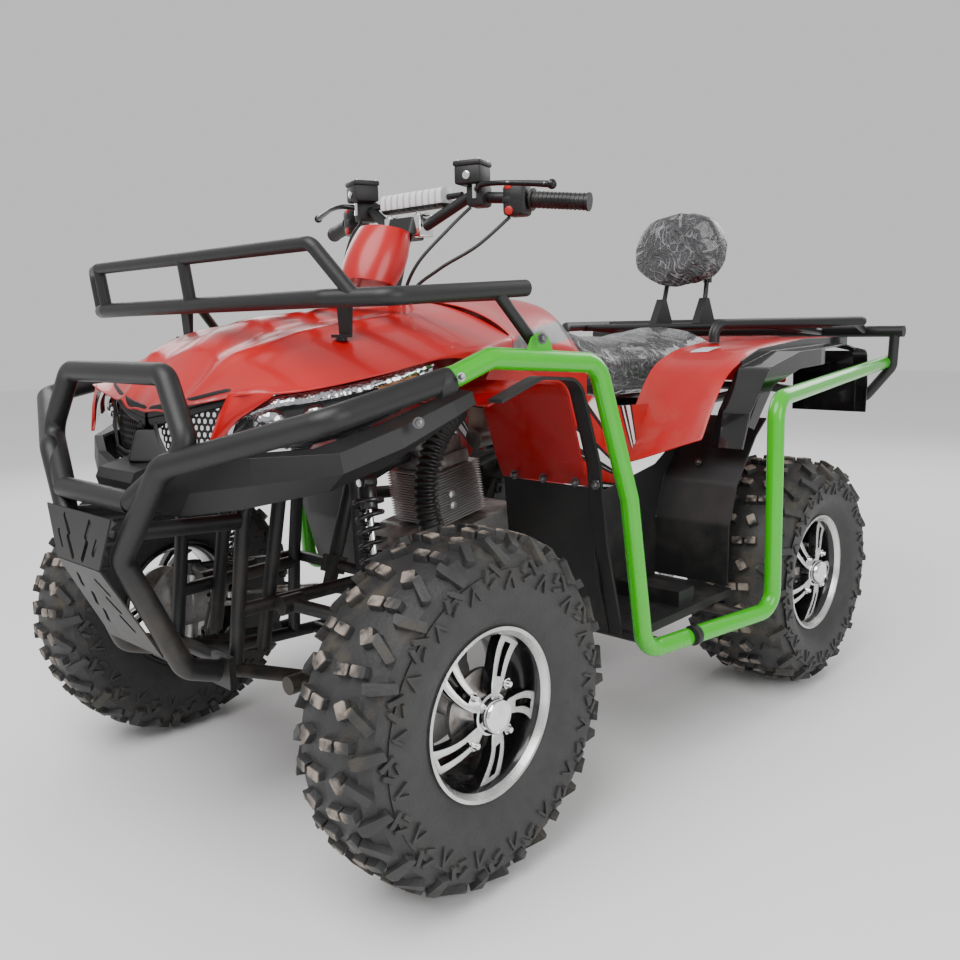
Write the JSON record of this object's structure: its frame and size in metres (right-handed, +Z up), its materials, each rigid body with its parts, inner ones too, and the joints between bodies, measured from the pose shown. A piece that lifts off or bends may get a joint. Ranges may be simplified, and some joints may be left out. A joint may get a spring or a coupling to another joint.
{
  "type": "utility quad bike",
  "caption": "Utility quad bike with straddle seat and backrest, steered front wheels, driven rear axle, cargo racks, bull bar and side guard tubes.",
  "frame": {"origin": "on the ground under the middle of the vehicle", "axes": "+Z up, the nose faces -Y, +X is the rider's left"},
  "size_m": [1.223, 2.1907, 1.2138],
  "materials": {
    "frame_black": "satin black paint",
    "bumper_black": "textured black powder coat",
    "rack_black": "textured black powder coat",
    "guard_green": "gloss green paint",
    "panel_red": "gloss red",
    "fender_red": "gloss dark red",
    "panel_black": "grained black",
    "gloss_black": "gloss black",
    "cover_white": "white with black shards",
    "seat_vinyl": "dark grey vinyl under clear film",
    "engine_alloy": "cast alloy",
    "hose_rubber": "black rubber",
    "exhaust_black": "heat-proof black",
    "damper_steel": "black spring",
    "lamp_lens": "clear lens",
    "lamp_red": "red lens",
    "grip_rubber": "ribbed rubber",
    "pad_white": "wrapped pad",
    "control_black": "black plastic",
    "bright_steel": "machined steel",
    "cast_black": "cast",
    "tyre_rubber": "muddy rubber",
    "rim_alloy": "machined face, black pockets"
  },
  "bodies": {
    "chassis": {"main_frame": "frame_black", "front_bumper": "bumper_black", "bumper_plate": "bumper_black", "side_guard_left": "guard_green", "side_guard_right": "guard_green", "front_rack": "rack_black", "rack_posts": "rack_black", "rear_rack": "rack_black", "backrest_posts": "rack_black", "backrest_pad": "seat_vinyl", "hood": "panel_red", "grille": "panel_black", "headlamps": "lamp_lens", "front_fascia": "panel_black", "front_inner_fenders": "fender_red", "front_mud_flaps": "panel_black", "fender_trims": "panel_black", "tank_cover": "panel_red", "side_covers": "cover_white", "seat": "seat_vinyl", "rear_fender": "panel_red", "rear_overfenders": "gloss_black", "footwells": "panel_black", "footboards": "panel_black", "engine": "engine_alloy", "cylinder": "engine_alloy", "intake_hose": "hose_rubber", "exhaust": "exhaust_black", "suspension_arms": "frame_black", "front_dampers": "damper_steel", "swing_arm": "frame_black", "rear_damper": "damper_steel", "tail_lamps": "lamp_red"},
    "steering": {"steering_stem": "frame_black", "handlebar": "rack_black", "handlebar_grips": "grip_rubber", "crossbar_pad": "pad_white", "nacelle": "panel_red", "hand_controls": "control_black", "control_cables": "hose_rubber"},
    "knuckle_left": {"knuckle_left": "cast_black"},
    "front_wheel_left": {"front_tyre_left": "tyre_rubber", "front_rim_left": "rim_alloy", "front_hub_left": "bright_steel"},
    "tie_rod_left": {"tie_rod_left": "bright_steel"},
    "knuckle_right": {"knuckle_right": "cast_black"},
    "front_wheel_right": {"front_tyre_right": "tyre_rubber", "front_rim_right": "rim_alloy", "front_hub_right": "bright_steel"},
    "tie_rod_right": {"tie_rod_right": "bright_steel"},
    "rear_axle": {"rear_axle": "bright_steel", "rear_tyre_left": "tyre_rubber", "rear_tyre_right": "tyre_rubber", "rear_rim_left": "rim_alloy", "rear_rim_right": "rim_alloy"}
  },
  "joints": [
    {"name": "steering", "type": "hinge", "parent": "chassis", "child": "steering", "pos_m": [0, -0.6, 0.372], "axis": [0, 0.3258, 0.9454], "range_deg": [-29, 29], "deforming": ["control_cables"]},
    {"name": "kingpin_left", "type": "hinge", "parent": "chassis", "child": "knuckle_left", "pos_m": [0.378, -0.702, 0.218], "axis": [-0.0672, 0.0806, 0.9945], "range_deg": [-31, 31]},
    {"name": "front_wheel_left_spin", "type": "hinge", "parent": "knuckle_left", "child": "front_wheel_left", "pos_m": [0.47, -0.696, 0.292], "axis": [1, 0, 0], "continuous": true},
    {"name": "tie_rod_left_pivot", "type": "hinge", "parent": "steering", "child": "tie_rod_left", "pos_m": [0.026, -0.52694, 0.36301], "axis": [0, 0.3258, 0.9454], "range_deg": [-36, 36]},
    {"name": "kingpin_right", "type": "hinge", "parent": "chassis", "child": "knuckle_right", "pos_m": [-0.378, -0.702, 0.218], "axis": [0.0672, 0.0806, 0.9945], "range_deg": [-31, 31]},
    {"name": "front_wheel_right_spin", "type": "hinge", "parent": "knuckle_right", "child": "front_wheel_right", "pos_m": [-0.47, -0.696, 0.292], "axis": [1, 0, 0], "continuous": true},
    {"name": "tie_rod_right_pivot", "type": "hinge", "parent": "steering", "child": "tie_rod_right", "pos_m": [-0.026, -0.52694, 0.36301], "axis": [0, 0.3258, 0.9454], "range_deg": [-36, 36]},
    {"name": "rear_axle_spin", "type": "hinge", "parent": "chassis", "child": "rear_axle", "pos_m": [0, 0.464, 0.2795], "axis": [1, 0, 0], "continuous": true}
  ],
  "couplings": [
    {"joint": "kingpin_left", "follows": "steering", "ratio": 1.04},
    {"joint": "tie_rod_left_pivot", "follows": "steering", "ratio": -1.155},
    {"joint": "kingpin_right", "follows": "steering", "ratio": 1.04},
    {"joint": "tie_rod_right_pivot", "follows": "steering", "ratio": -1.155}
  ]
}
